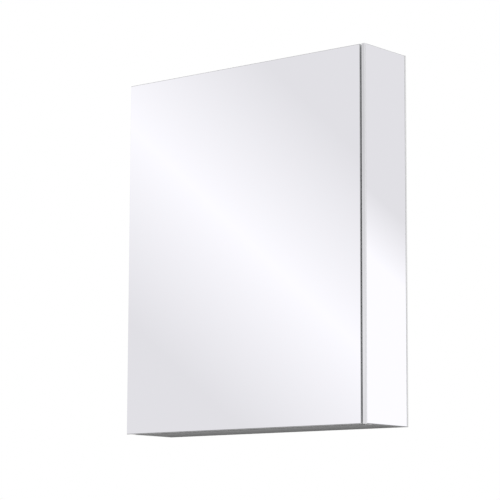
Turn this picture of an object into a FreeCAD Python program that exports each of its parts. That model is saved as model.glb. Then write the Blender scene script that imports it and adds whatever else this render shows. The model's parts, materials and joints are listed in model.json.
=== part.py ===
"""Wall-hung bathroom mirror cabinet with one mirrored door and mirrored sides.

Millimetres. X runs to the right, Y into the wall and Z up. The origin is the centre of the back
face, in the plane of the wall, so the front of the cabinet looks along -Y.
"""
import FreeCAD, Part
import os

from FreeCAD import Vector

# Overall size of the closed cabinet
WIDTH = 600.0
HEIGHT = 720.0
DEPTH = 135.0

# Boards of the body
BOARD_T = 16.0
BACK_T = 4.0
BAND_T = 1.0
RAIL_T = 16.0
RAIL_H = 48.0

# Mirror glass, its ground edge and the tape that bonds it
GLASS_T = 4.0
ARRIS = 1.0
TAPE_T = 1.0
TAPE_W = 20.0
TAPE_INSET = 20.0
SIDE_TAPES = 3
DOOR_TAPES = 6

# Door: the mirror stands past its core and stops short of the right cheek
CORE_T = 16.0
OVERHANG = 3.0
END_OVERHANG = 0.5
SIDE_GAP = 4.0

# Aluminium profile that forms the cheek along the closing edge
CHEEK_W = 8.0
NOSE_T = 2.0
NOSE_R = 1.5
FOOT_T = 2.0
PROFILE_SCREWS = 4

# Full-height hinge
HINGE_PIN_R = 1.25
HINGE_FIT = 0.05
LEAF_T = 1.0
DOOR_LEAF_W = 24.0
HINGE_INSET = 10.0
KNUCKLES = 23
KNUCKLE_PLAY = 0.3
HINGE_SCREWS = 8

# Countersunk screws, their cross recess and their holes
SCREW_R = 1.5
SCREW_HEAD_R = 2.9
SCREW_L = 12.0
BACK_SCREW_L = 22.0
SCREW_FIT = 0.05
DRIVE_W = 0.8
DRIVE_SPAN = 3.2
DRIVE_DEPTH = 0.9
SCREW_INSET = 40.0
BACK_SCREW_PITCH = 220.0

# Dowels of the body
DOWEL_R = 4.0
DOWEL_L = 30.0
DOWEL_SET = 10.0
DOWEL_FIT = 0.05
DOWEL_INSET = 24.0

# Wall screws
WALL_HOLE_R = 3.25
WALL_SPAN_X = 400.0

# Glass shelves on plug-in pins
SHELF_T = 6.0
LOWER_SHELF_Z = -115.0
UPPER_SHELF_Z = 115.0
SHELF_SIDE_PLAY = 1.5
SHELF_FRONT_INSET = 10.0
SHELF_BACK_PLAY = 2.0
SHELF_ARRIS = 0.6
PIN_R = 2.5
PIN_FIT = 0.05
PIN_SET = 8.0
PIN_HOLE_DEPTH = 9.0
PIN_HEAD_R = 3.6
PIN_HEAD_L = 8.0
PIN_SEAT = 2.4
PIN_ROW_INSET = 22.0
PIN_PITCH = 32.0
PIN_STEPS = (-1, 0, 1)

# Push latch on the right side board
LATCH_Z = 0.0
LATCH_W = 16.0
LATCH_H = 15.0
LATCH_INSET = 1.0
LATCH_WALL = 3.0
EJECT_TRAVEL = 12.0
STEM_R = 3.2
COLLAR_R = 4.2
COLLAR_L = 6.0
LATCH_FIT = 0.08
SPRING_L = 13.0
SPRING_R = 2.8
SPRING_WIRE_R = 0.4
SPRING_TURNS = 6
SPRING_PLAY = 0.1
CAP_T = 3.0
EAR_T = 3.0
EAR_H = 11.0
EAR_L = 16.0
MAGNET_R = 2.2
MAGNET_T = 3.0

# Strike plate and soft stops on the back of the door; the stops leave room to push the door in
STRIKE_T = 1.0
STRIKE_W = 18.0
STRIKE_H = 36.0
STRIKE_SCREW_INSET = 6.0
STRIKE_GAP = 0.3
BUMPER_R = 4.5
BUMPER_INSET = 30.0
BUMPER_GAP = 2.3

# Planes across the cabinet
HALF_W = WIDTH / 2
HALF_H = HEIGHT / 2
X_GLASS_IN = HALF_W - GLASS_T
X_BOARD_OUT = X_GLASS_IN - TAPE_T
X_BOARD_IN = X_BOARD_OUT - BOARD_T
X_CHEEK_IN = HALF_W - CHEEK_W
X_DOOR_LEFT = -HALF_W
X_DOOR_RIGHT = X_CHEEK_IN - SIDE_GAP
Z_BOARD_IN = HALF_H - BOARD_T
Z_CORE = HALF_H - END_OVERHANG

# Planes from the front of the door to the wall; the hinge barrel sets the gap behind the door
KNUCKLE_R = HINGE_PIN_R + HINGE_FIT + LEAF_T
Y_FRONT = -DEPTH
Y_GLASS_BACK = Y_FRONT + GLASS_T
Y_CORE_FRONT = Y_GLASS_BACK + TAPE_T
Y_CORE_BACK = Y_CORE_FRONT + CORE_T
Y_PIVOT = Y_CORE_BACK + KNUCKLE_R
Y_BODY_FRONT = Y_PIVOT + KNUCKLE_R
Y_BOARD_FRONT = Y_BODY_FRONT + BAND_T
Y_BOARD_BACK = -BACK_T
X_PIVOT = X_DOOR_LEFT + KNUCKLE_R
HINGE_L = HEIGHT - 2 * HINGE_INSET

# Latch stations along Y, from the tip of the plunger to the end of the housing
LATCH_X = X_BOARD_IN - LATCH_W / 2
Y_TIP = Y_CORE_BACK + STRIKE_T + STRIKE_GAP
Y_LATCH = Y_BODY_FRONT + LATCH_INSET
Y_COLLAR = Y_LATCH + LATCH_WALL + EJECT_TRAVEL
Y_SPRING = Y_COLLAR + COLLAR_L
Y_CAP = Y_SPRING + SPRING_L
Y_LATCH_END = Y_CAP + CAP_T

TOUCH = 1e-6
ALONG_Y = Vector(0, 1, 0)
ALONG_Z = Vector(0, 0, 1)


def block(xs, ys, zs):
    """Solid block between two values of X, Y and Z, given in either order."""
    (x0, x1), (y0, y1), (z0, z1) = sorted(xs), sorted(ys), sorted(zs)
    return Part.makeBox(x1 - x0, y1 - y0, z1 - z0, Vector(x0, y0, z0))


def bar(radius, start, end):
    """Round bar from one point to another."""
    return Part.makeCylinder(radius, (end - start).Length, start, end - start)


def arrissed(solid, axis, level, size):
    """Break the edges that lie in the plane where an axis has this level."""
    edges = []
    for edge in solid.Edges:
        if all(abs(getattr(v.Point, axis) - level) < TOUCH for v in edge.Vertexes):
            edges.append(edge)
    return solid.makeChamfer(size, edges)


def spread(low, high, count):
    """Even places from low to high, both ends included."""
    return [low + (high - low) * i / (count - 1) for i in range(count)]


def pitched(reach, pitch):
    """Even places from -reach to reach, as near to a pitch as whole steps allow."""
    steps = max(1, round(2 * reach / pitch))
    return spread(-reach, reach, steps + 1)


def aimed(shape, point, direction):
    """Copy of a shape made along +Z, turned to a direction and moved to a point."""
    copy = shape.copy()
    copy.Placement = FreeCAD.Placement(point, FreeCAD.Rotation(ALONG_Z, direction))
    return copy


def screw_body(length, widen=0.0):
    """Countersunk screw along +Z with its head at the origin, or its hole when widened."""
    head = SCREW_HEAD_R + widen
    shank = SCREW_R + widen
    tip = length + widen
    outline = [
        Vector(0, 0, 0),
        Vector(head, 0, 0),
        Vector(shank, 0, head - shank),
        Vector(shank, 0, tip - shank),
        Vector(0, 0, tip),
        Vector(0, 0, 0),
    ]
    return Part.Face(Part.makePolygon(outline)).revolve(Vector(), ALONG_Z, 360)


def screws(seats, length):
    """Group of screws with a cross recess, one at each seat."""
    half_w, half_span = DRIVE_W / 2, DRIVE_SPAN / 2
    slot = block((-half_span, half_span), (-half_w, half_w), (0, DRIVE_DEPTH))
    cross = slot.fuse(block((-half_w, half_w), (-half_span, half_span), (0, DRIVE_DEPTH)))
    screw = screw_body(length).cut(cross)
    return Part.makeCompound([aimed(screw, point, way) for point, way in seats])


def screw_holes(seats, length):
    """Countersunk holes for a group of screws."""
    hole = screw_body(length, SCREW_FIT)
    return Part.makeCompound([aimed(hole, point, way) for point, way in seats])


def back_panel_seats():
    """Screw seats on the wall face, into the rear edges of the four boards."""
    x_side = X_BOARD_OUT - BOARD_T / 2
    z_cap = HALF_H - BOARD_T / 2
    z_reach = Z_BOARD_IN - SCREW_INSET
    x_reach = X_BOARD_IN - SCREW_INSET
    seats = []
    for side in (-1, 1):
        for z in pitched(z_reach, BACK_SCREW_PITCH):
            seats.append((Vector(side * x_side, 0, z), -ALONG_Y))
        for x in pitched(x_reach, BACK_SCREW_PITCH):
            seats.append((Vector(x, 0, side * z_cap), -ALONG_Y))
    return seats


def hinge_seats(x, y, way):
    """Screw seats down one hinge leaf."""
    reach = HINGE_L / 2 - SCREW_INSET
    return [(Vector(x, y, z), way) for z in spread(-reach, reach, HINGE_SCREWS)]


def body_hinge_seats():
    """Screw seats of the leaf on the front edge of the left side board."""
    return hinge_seats(-X_BOARD_OUT + BOARD_T / 2, Y_BODY_FRONT - LEAF_T, ALONG_Y)


def door_hinge_seats():
    """Screw seats of the leaf on the back of the door."""
    x = (X_PIVOT + KNUCKLE_R + X_PIVOT + DOOR_LEAF_W) / 2
    return hinge_seats(x, Y_CORE_BACK + LEAF_T, -ALONG_Y)


def profile_seats():
    """Screw seats in the foot of the closing edge profile."""
    reach = HALF_H - SCREW_INSET
    x = (X_BOARD_IN + X_CHEEK_IN) / 2
    y = Y_BODY_FRONT - FOOT_T
    return [(Vector(x, y, z), ALONG_Y) for z in spread(-reach, reach, PROFILE_SCREWS)]


def latch_seats():
    """Screw seats in the two ears of the latch housing."""
    y = Y_LATCH + EAR_L / 2
    offset = LATCH_H / 2 + EAR_H / 2
    seats = []
    for end in (-1, 1):
        seats.append((Vector(X_BOARD_IN - EAR_T, y, LATCH_Z + end * offset), Vector(1, 0, 0)))
    return seats


def strike_seats():
    """Screw seats at the two ends of the strike plate."""
    offset = STRIKE_H / 2 - STRIKE_SCREW_INSET
    y = Y_CORE_BACK + STRIKE_T
    return [(Vector(LATCH_X, y, LATCH_Z + end * offset), -ALONG_Y) for end in (-1, 1)]


def dowel_lines():
    """Start and end points of every dowel: four corner joints, then the rail ends."""
    lines = []
    x_side = X_BOARD_OUT - BOARD_T / 2
    z_rail = Z_BOARD_IN - RAIL_H / 2
    y_rail = Y_BOARD_BACK - RAIL_T / 2
    z_deep = Z_BOARD_IN + DOWEL_SET
    x_deep = X_BOARD_IN + DOWEL_SET
    for side in (-1, 1):
        for end in (-1, 1):
            for y in (Y_BOARD_FRONT + DOWEL_INSET, Y_BOARD_BACK - DOWEL_INSET):
                start = Vector(side * x_side, y, end * z_deep)
                lines.append((start, start - Vector(0, 0, end * DOWEL_L)))
            start = Vector(side * x_deep, y_rail, end * z_rail)
            lines.append((start, start - Vector(side * DOWEL_L, 0, 0)))
    return lines


def dowels():
    """Wooden dowels that line up the body."""
    return Part.makeCompound([bar(DOWEL_R, start, end) for start, end in dowel_lines()])


def dowel_holes():
    """Blind holes for the dowels, a little wider and deeper."""
    holes = []
    for start, end in dowel_lines():
        margin = (end - start).normalize() * DOWEL_FIT
        holes.append(bar(DOWEL_R + DOWEL_FIT, start - margin, end + margin))
    return Part.makeCompound(holes)


def pin_rows():
    """Depths of the front and rear rows of shelf pins."""
    return (Y_BOARD_FRONT + PIN_ROW_INSET, Y_BOARD_BACK - PIN_ROW_INSET)


def pin_holes(side):
    """Rows of shelf pin holes in the inner face of one side board."""
    holes = []
    for shelf_z in (LOWER_SHELF_Z, UPPER_SHELF_Z):
        for y in pin_rows():
            for step in PIN_STEPS:
                mouth = Vector(side * X_BOARD_IN, y, shelf_z - PIN_SEAT + step * PIN_PITCH)
                holes.append(bar(PIN_R, mouth, mouth + Vector(side * PIN_HOLE_DEPTH, 0, 0)))
    return Part.makeCompound(holes)


def side_board(side, front_seats):
    """One upright of the body, drilled for dowels, pins and screws."""
    board = block(
        (side * X_BOARD_IN, side * X_BOARD_OUT),
        (Y_BOARD_FRONT, Y_BOARD_BACK),
        (-Z_BOARD_IN, Z_BOARD_IN),
    )
    board = board.cut(dowel_holes()).cut(pin_holes(side))
    board = board.cut(screw_holes(back_panel_seats(), BACK_SCREW_L))
    return board.cut(screw_holes(front_seats, SCREW_L))


def cap_board(end):
    """Top or bottom board, which closes the ends of both side boards."""
    board = block(
        (-X_BOARD_OUT, X_BOARD_OUT),
        (Y_BOARD_FRONT, Y_BOARD_BACK),
        (end * Z_BOARD_IN, end * HALF_H),
    )
    board = board.cut(dowel_holes())
    return board.cut(screw_holes(back_panel_seats(), BACK_SCREW_L))


def body_edge_bands():
    """Edging on the front edges of the four boards."""
    ys = (Y_BODY_FRONT, Y_BOARD_FRONT)
    holes = screw_holes(body_hinge_seats() + profile_seats(), SCREW_L)
    strips = []
    for side in (-1, 1):
        strips.append(
            block((side * X_BOARD_IN, side * X_BOARD_OUT), ys, (-Z_BOARD_IN, Z_BOARD_IN)).cut(holes)
        )
        strips.append(block((-X_BOARD_OUT, X_BOARD_OUT), ys, (side * Z_BOARD_IN, side * HALF_H)))
    return Part.makeCompound([solid for strip in strips for solid in strip.Solids])


def wall_holes():
    """Holes for the four wall screws, through the rails and the back panel."""
    holes = []
    for side in (-1, 1):
        for end in (-1, 1):
            wall = Vector(side * WALL_SPAN_X / 2, 0, end * (Z_BOARD_IN - RAIL_H / 2))
            holes.append(bar(WALL_HOLE_R, wall, wall - Vector(0, BACK_T + RAIL_T, 0)))
    return Part.makeCompound(holes)


def back_panel():
    """Panel against the wall, whose edge shows behind the mirrored sides."""
    panel = block((-HALF_W, HALF_W), (Y_BOARD_BACK, 0), (-HALF_H, HALF_H))
    panel = panel.cut(screw_holes(back_panel_seats(), BACK_SCREW_L))
    return panel.cut(wall_holes())


def hanging_rail(end):
    """Rail under the top board or over the bottom board, behind the shelves."""
    rail = block(
        (-X_BOARD_IN, X_BOARD_IN),
        (Y_BOARD_BACK - RAIL_T, Y_BOARD_BACK),
        (end * (Z_BOARD_IN - RAIL_H), end * Z_BOARD_IN),
    )
    return rail.cut(dowel_holes()).cut(wall_holes())


def side_mirror(side, y_front):
    """Mirror glass over one whole side, with a ground outer edge."""
    pane = block((side * X_GLASS_IN, side * HALF_W), (y_front, Y_BOARD_BACK), (-HALF_H, HALF_H))
    return arrissed(pane, "x", side * HALF_W, ARRIS)


def side_mirror_tape():
    """Upright strips of tape between the side boards and their mirrors."""
    low = Y_BOARD_FRONT + TAPE_INSET
    high = Y_BOARD_BACK - TAPE_INSET
    z_reach = HALF_H - TAPE_INSET
    strips = []
    for side in (-1, 1):
        for y in spread(low, high, SIDE_TAPES):
            ys = (y - TAPE_W / 2, y + TAPE_W / 2)
            strips.append(block((side * X_BOARD_OUT, side * X_GLASS_IN), ys, (-z_reach, z_reach)))
    return Part.makeCompound(strips)


def closing_edge_profile():
    """Aluminium profile: round nose over the mirror edge, leg behind it and foot on the board."""
    zs = (-HALF_H, HALF_H)
    nose = block((X_CHEEK_IN, HALF_W), (Y_FRONT, Y_FRONT + NOSE_T), zs)
    leg = block((X_CHEEK_IN, X_GLASS_IN), (Y_FRONT, Y_BODY_FRONT), zs)
    foot = block((X_BOARD_IN, X_GLASS_IN), (Y_BODY_FRONT - FOOT_T, Y_BODY_FRONT), zs)
    profile = nose.fuse(leg).fuse(foot).removeSplitter()
    corner = []
    for edge in profile.Edges:
        if all(abs(v.X - HALF_W) + abs(v.Y - Y_FRONT) < TOUCH for v in edge.Vertexes):
            corner.append(edge)
    profile = profile.makeFillet(NOSE_R, corner)
    return profile.cut(screw_holes(profile_seats(), SCREW_L))


def shelf(underside):
    """Clear glass shelf with ground edges."""
    pane = block(
        (-X_BOARD_IN + SHELF_SIDE_PLAY, X_BOARD_IN - SHELF_SIDE_PLAY),
        (Y_BODY_FRONT + SHELF_FRONT_INSET, Y_BOARD_BACK - SHELF_BACK_PLAY),
        (underside, underside + SHELF_T),
    )
    pane = arrissed(pane, "z", underside, SHELF_ARRIS)
    return arrissed(pane, "z", underside + SHELF_T, SHELF_ARRIS)


def shelf_pin(side, y, underside):
    """Plug-in pin with a flat seat under the shelf."""
    centre = Vector(side * X_BOARD_IN, y, underside - PIN_SEAT)
    shank = bar(PIN_R - PIN_FIT, centre, centre + Vector(side * PIN_SET, 0, 0))
    head = bar(PIN_HEAD_R, centre, centre - Vector(side * PIN_HEAD_L, 0, 0))
    above = block(
        (centre.x, centre.x - side * PIN_HEAD_L),
        (y - PIN_HEAD_R, y + PIN_HEAD_R),
        (underside, underside + PIN_HEAD_R),
    )
    return shank.fuse(head.cut(above))


def shelf_pins(underside):
    """The four pins of one shelf."""
    pins = [shelf_pin(side, y, underside) for side in (-1, 1) for y in pin_rows()]
    return Part.makeCompound([solid for pin in pins for solid in pin.Solids])


def knuckle_spans(first):
    """Height spans of every second knuckle, starting with the one given."""
    pitch = HINGE_L / KNUCKLES
    spans = []
    for i in range(first, KNUCKLES, 2):
        low = -HINGE_L / 2 + i * pitch
        spans.append((low + KNUCKLE_PLAY / 2, low + pitch - KNUCKLE_PLAY / 2))
    return spans


def hinge_leaf(first, x_edge, y_face, y_inner, seats):
    """Leaf with its own knuckles: a plate from clear of the barrel to x_edge, and a tab at each."""
    ys = (y_face, y_inner)
    x_clear = X_PIVOT + KNUCKLE_R + KNUCKLE_PLAY
    leaf = block((x_clear, x_edge), ys, (-HINGE_L / 2, HINGE_L / 2))
    knuckles = []
    for low, high in knuckle_spans(first):
        barrel = bar(KNUCKLE_R, Vector(X_PIVOT, Y_PIVOT, low), Vector(X_PIVOT, Y_PIVOT, high))
        knuckles.append(barrel.fuse(block((X_PIVOT, x_clear), ys, (low, high))))
    leaf = leaf.fuse(knuckles)
    bore = bar(
        HINGE_PIN_R + HINGE_FIT,
        Vector(X_PIVOT, Y_PIVOT, -HINGE_L / 2),
        Vector(X_PIVOT, Y_PIVOT, HINGE_L / 2),
    )
    return leaf.cut(bore).cut(screw_holes(seats, SCREW_L)).removeSplitter()


def body_hinge_leaf():
    """Leaf on the front edge of the left side board, with the end knuckles."""
    return hinge_leaf(0, -X_BOARD_IN, Y_BODY_FRONT, Y_BODY_FRONT - LEAF_T, body_hinge_seats())


def door_hinge_leaf():
    """Leaf on the back of the door, between the body's knuckles."""
    x_edge = X_PIVOT + DOOR_LEAF_W
    return hinge_leaf(1, x_edge, Y_CORE_BACK, Y_CORE_BACK + LEAF_T, door_hinge_seats())


def hinge_pin():
    """Pin through every knuckle."""
    low = Vector(X_PIVOT, Y_PIVOT, -HINGE_L / 2)
    return bar(HINGE_PIN_R, low, low + ALONG_Z * HINGE_L)


def door_mirror():
    """Mirror glass of the door, with a ground front edge."""
    pane = block((X_DOOR_LEFT, X_DOOR_RIGHT), (Y_FRONT, Y_GLASS_BACK), (-HALF_H, HALF_H))
    return arrissed(pane, "y", Y_FRONT, ARRIS)


def core_span():
    """Left and right ends of the door core inside its edging."""
    return (X_DOOR_LEFT + OVERHANG + BAND_T, X_DOOR_RIGHT - OVERHANG - BAND_T)


def door_mirror_tape():
    """Upright strips of tape between the mirror and the door core."""
    left, right = core_span()
    z_reach = Z_CORE - TAPE_INSET
    strips = []
    for x in spread(left + TAPE_INSET, right - TAPE_INSET, DOOR_TAPES):
        xs = (x - TAPE_W / 2, x + TAPE_W / 2)
        strips.append(block(xs, (Y_GLASS_BACK, Y_CORE_FRONT), (-z_reach, z_reach)))
    return Part.makeCompound(strips)


def door_core():
    """Board behind the mirror, drilled for the hinge and strike plate screws."""
    core = block(core_span(), (Y_CORE_FRONT, Y_CORE_BACK), (-Z_CORE + BAND_T, Z_CORE - BAND_T))
    return core.cut(screw_holes(door_hinge_seats() + strike_seats(), SCREW_L))


def door_edge_bands():
    """Edging round the four edges of the door core."""
    left, right = core_span()
    ys = (Y_CORE_FRONT, Y_CORE_BACK)
    z_in = Z_CORE - BAND_T
    strips = [
        block((left - BAND_T, left), ys, (-z_in, z_in)),
        block((right, right + BAND_T), ys, (-z_in, z_in)),
    ]
    for end in (-1, 1):
        strips.append(block((left - BAND_T, right + BAND_T), ys, (end * z_in, end * Z_CORE)))
    return Part.makeCompound(strips)


def door_bumpers():
    """Soft stops near the closing edge, facing the top and bottom boards."""
    x = core_span()[1] - BUMPER_INSET
    stops = []
    for end in (-1, 1):
        foot = Vector(x, Y_CORE_BACK, end * (Z_CORE - BAND_T - BUMPER_R))
        tip = Vector(x, Y_BODY_FRONT - BUMPER_GAP, foot.z)
        stops.append(arrissed(bar(BUMPER_R, foot, tip), "y", tip.y, ARRIS))
    return Part.makeCompound(stops)


def latch_point(y):
    """Point on the axis of the latch."""
    return Vector(LATCH_X, y, LATCH_Z)


def latch_housing():
    """Housing with a stepped bore and two screw ears."""
    zs = (LATCH_Z - LATCH_H / 2, LATCH_Z + LATCH_H / 2)
    shell = block((X_BOARD_IN - LATCH_W, X_BOARD_IN), (Y_LATCH, Y_LATCH_END), zs)
    ears = block(
        (X_BOARD_IN - EAR_T, X_BOARD_IN),
        (Y_LATCH, Y_LATCH + EAR_L),
        (zs[0] - EAR_H, zs[1] + EAR_H),
    )
    mouth = bar(STEM_R + LATCH_FIT, latch_point(Y_LATCH), latch_point(Y_COLLAR))
    bore = bar(
        COLLAR_R + LATCH_FIT, latch_point(Y_LATCH + LATCH_WALL), latch_point(Y_LATCH_END)
    )
    return shell.fuse(ears).removeSplitter().cut(mouth.fuse(bore)).cut(
        screw_holes(latch_seats(), SCREW_L)
    )


def latch_plunger():
    """Plunger with a magnet pocket in its tip and a collar that keeps it in the housing."""
    stem = bar(STEM_R, latch_point(Y_TIP), latch_point(Y_COLLAR))
    collar = bar(COLLAR_R, latch_point(Y_COLLAR), latch_point(Y_SPRING))
    pocket = bar(MAGNET_R + LATCH_FIT, latch_point(Y_TIP), latch_point(Y_TIP + MAGNET_T))
    return stem.fuse(collar).cut(pocket)


def latch_magnet():
    """Magnet in the tip of the plunger."""
    return bar(MAGNET_R, latch_point(Y_TIP), latch_point(Y_TIP + MAGNET_T))


def latch_rear_cap():
    """Plug that closes the rear of the housing and carries the spring."""
    return bar(COLLAR_R, latch_point(Y_CAP), latch_point(Y_LATCH_END))


def latch_spring():
    """Coil spring between the plunger and the rear cap."""
    height = SPRING_L - 2 * (SPRING_PLAY + SPRING_WIRE_R)
    path = Part.makeHelix(height / SPRING_TURNS, height, SPRING_R)
    section = Part.Wire(Part.makeCircle(SPRING_WIRE_R, Vector(SPRING_R, 0, 0), ALONG_Y))
    coil = Part.Wire(path).makePipeShell([section], True, True)
    return aimed(coil, latch_point(Y_SPRING + SPRING_PLAY + SPRING_WIRE_R), ALONG_Y)


def strike_plate():
    """Steel plate on the back of the door, in front of the plunger."""
    plate = block(
        (LATCH_X - STRIKE_W / 2, LATCH_X + STRIKE_W / 2),
        (Y_CORE_BACK, Y_CORE_BACK + STRIKE_T),
        (LATCH_Z - STRIKE_H / 2, LATCH_Z + STRIKE_H / 2),
    )
    return plate.cut(screw_holes(strike_seats(), SCREW_L))


def body_nodes():
    """Everything that stays on the wall."""
    return {
        "left_side_board": side_board(-1, body_hinge_seats()),
        "right_side_board": side_board(1, profile_seats() + latch_seats()),
        "top_board": cap_board(1),
        "bottom_board": cap_board(-1),
        "body_edge_bands": body_edge_bands(),
        "carcass_dowels": dowels(),
        "back_panel": back_panel(),
        "back_panel_screws": screws(back_panel_seats(), BACK_SCREW_L),
        "upper_hanging_rail": hanging_rail(1),
        "lower_hanging_rail": hanging_rail(-1),
        "left_side_mirror": side_mirror(-1, Y_BODY_FRONT),
        "right_side_mirror": side_mirror(1, Y_FRONT + NOSE_T),
        "side_mirror_tape": side_mirror_tape(),
        "closing_edge_profile": closing_edge_profile(),
        "closing_edge_screws": screws(profile_seats(), SCREW_L),
        "body_hinge_leaf": body_hinge_leaf(),
        "body_hinge_screws": screws(body_hinge_seats(), SCREW_L),
        "hinge_pin": hinge_pin(),
        "lower_shelf": shelf(LOWER_SHELF_Z),
        "lower_shelf_pins": shelf_pins(LOWER_SHELF_Z),
        "upper_shelf": shelf(UPPER_SHELF_Z),
        "upper_shelf_pins": shelf_pins(UPPER_SHELF_Z),
    }


def latch_nodes():
    """The push latch on the right side board."""
    return {
        "latch_housing": latch_housing(),
        "latch_rear_cap": latch_rear_cap(),
        "latch_plunger": latch_plunger(),
        "latch_magnet": latch_magnet(),
        "latch_spring": latch_spring(),
        "latch_screws": screws(latch_seats(), SCREW_L),
    }


def door_nodes():
    """Everything that swings with the door."""
    return {
        "door_mirror": door_mirror(),
        "door_mirror_tape": door_mirror_tape(),
        "door_core": door_core(),
        "door_edge_bands": door_edge_bands(),
        "door_hinge_leaf": door_hinge_leaf(),
        "door_hinge_screws": screws(door_hinge_seats(), SCREW_L),
        "door_bumpers": door_bumpers(),
        "strike_plate": strike_plate(),
        "strike_plate_screws": screws(strike_seats(), SCREW_L),
    }


def main():
    """Build every piece and write one file for each."""
    os.makedirs("parts", exist_ok=True)
    nodes = {**body_nodes(), **latch_nodes(), **door_nodes()}
    for name, shape in nodes.items():
        shape.exportStep(os.path.join("parts", name + ".step"))
        print(name, len(shape.Solids), shape.isValid(), round(shape.Volume / 1000, 2))


main()
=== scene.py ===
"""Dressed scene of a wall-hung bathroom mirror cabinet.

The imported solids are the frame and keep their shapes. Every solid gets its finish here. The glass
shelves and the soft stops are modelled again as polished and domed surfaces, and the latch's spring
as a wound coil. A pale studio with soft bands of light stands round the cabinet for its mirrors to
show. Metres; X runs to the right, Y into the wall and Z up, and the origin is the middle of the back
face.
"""
import json
import logging
import math
from abc import ABC, abstractmethod
from collections.abc import Mapping
from dataclasses import dataclass, field
from enum import Enum
from functools import cache
from typing import Any

import bpy
import numpy as np
from mathutils import Matrix, Vector


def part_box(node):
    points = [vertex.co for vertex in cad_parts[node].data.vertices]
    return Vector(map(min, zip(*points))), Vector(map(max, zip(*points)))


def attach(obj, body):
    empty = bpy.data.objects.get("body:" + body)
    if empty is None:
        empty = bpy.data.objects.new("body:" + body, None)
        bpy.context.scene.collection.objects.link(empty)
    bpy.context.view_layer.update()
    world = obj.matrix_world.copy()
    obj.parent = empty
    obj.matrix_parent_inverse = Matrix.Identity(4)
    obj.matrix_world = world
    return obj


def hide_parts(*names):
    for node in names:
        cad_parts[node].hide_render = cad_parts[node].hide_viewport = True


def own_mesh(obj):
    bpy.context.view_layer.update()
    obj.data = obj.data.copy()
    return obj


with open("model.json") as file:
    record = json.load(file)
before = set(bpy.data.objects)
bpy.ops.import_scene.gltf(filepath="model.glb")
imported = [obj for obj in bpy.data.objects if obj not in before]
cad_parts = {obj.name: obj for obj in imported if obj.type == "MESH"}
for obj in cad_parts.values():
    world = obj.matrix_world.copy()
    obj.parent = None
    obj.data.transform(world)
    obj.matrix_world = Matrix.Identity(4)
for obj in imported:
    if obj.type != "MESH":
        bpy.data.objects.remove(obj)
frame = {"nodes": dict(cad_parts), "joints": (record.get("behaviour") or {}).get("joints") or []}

LOG = logging.getLogger("mirror_cabinet")
Colour = tuple[float, float, float]
Point = tuple[float, float, float]

WHITE: Colour = (0.82, 0.82, 0.815)
GREY: Colour = (0.268, 0.268, 0.27)
EDGE_GREY: Colour = (0.25, 0.25, 0.252)
NOISE_MEAN = 0.5


class Axis(Enum):
    """Axes of the shared frame, by their place in a point."""

    X = 0
    Y = 1
    Z = 2


class Body(Enum):
    """Bodies of the frame that new pieces ride on."""

    CABINET = "cabinet"
    DOOR = "door"


class Side(Enum):
    """Sides of the cabinet, by the sign of X."""

    LEFT = -1.0
    RIGHT = 1.0


class End(Enum):
    """Ends of the cabinet, by the sign of Z."""

    BOTTOM = -1.0
    TOP = 1.0


def box(node: str) -> tuple[np.ndarray, np.ndarray]:
    """Lowest and highest corner of a solid of the frame."""
    low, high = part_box(node)
    return np.array(low), np.array(high)


def reach(node: str, axis: Axis, sign: float) -> float:
    """How far a solid of the frame reaches along an axis.

    Args:
        node: Name of the solid's node.
        axis: The axis.
        sign: Below 0 for the lowest coordinate, above 0 for the highest.

    Returns:
        The coordinate.
    """
    low, high = box(node)
    return float((high if sign > 0 else low)[axis.value])


def middle(node: str, axis: Axis) -> float:
    """Coordinate halfway through a solid of the frame."""
    return (reach(node, axis, -1.0) + reach(node, axis, 1.0)) / 2


def span(node: str, axis: Axis) -> float:
    """Extent of a solid of the frame along an axis."""
    return reach(node, axis, 1.0) - reach(node, axis, -1.0)


def travel(joint: str) -> float:
    """Length of a sliding joint's range."""
    low, high = next(each["range_m"] for each in frame["joints"] if each["name"] == joint)
    return high - low


def shade(colour: Colour, share: float) -> Colour:
    """Colour with every channel times a share."""
    return tuple(channel * share for channel in colour)


class Wire:
    """A value in a shader graph. Arithmetic on it adds Math nodes to the graph."""

    def __init__(self, graph: "Graph", socket: bpy.types.NodeSocket) -> None:
        """Hold the graph and the output socket that carries the value."""
        self.graph = graph
        self.socket = socket

    def math(self, operation: str, *terms: "Wire | float") -> "Wire":
        """Put this value, and any further terms, through a Math node.

        Args:
            operation: Blender's name of the operation.
            terms: The second and third operands, where there are any.

        Returns:
            The result.
        """
        return self.graph.math(operation, self, *terms)

    def __add__(self, other: "Wire | float") -> "Wire":
        """Sum."""
        return self.math("ADD", other)

    def __radd__(self, other: float) -> "Wire":
        """Sum with a number in front."""
        return self.math("ADD", other)

    def __sub__(self, other: "Wire | float") -> "Wire":
        """Difference."""
        return self.math("SUBTRACT", other)

    def __rsub__(self, other: float) -> "Wire":
        """Difference from a number in front."""
        return self.graph.math("SUBTRACT", other, self)

    def __mul__(self, other: "Wire | float") -> "Wire":
        """Product."""
        return self.math("MULTIPLY", other)

    def __rmul__(self, other: float) -> "Wire":
        """Product with a number in front."""
        return self.math("MULTIPLY", other)

    def __truediv__(self, other: "Wire | float") -> "Wire":
        """Quotient."""
        return self.math("DIVIDE", other)

    def __rtruediv__(self, other: float) -> "Wire":
        """Quotient of a number in front."""
        return self.graph.math("DIVIDE", other, self)

    def __abs__(self) -> "Wire":
        """Size without sign."""
        return self.math("ABSOLUTE")


@dataclass(frozen=True)
class Grain:
    """Soft noise: grains in a metre, octaves of finer noise, and factors on the coordinates.

    A small factor draws the grain out along its axis.
    """

    scale: float
    detail: float = 2.0
    stretch: Point = (1.0, 1.0, 1.0)


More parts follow.
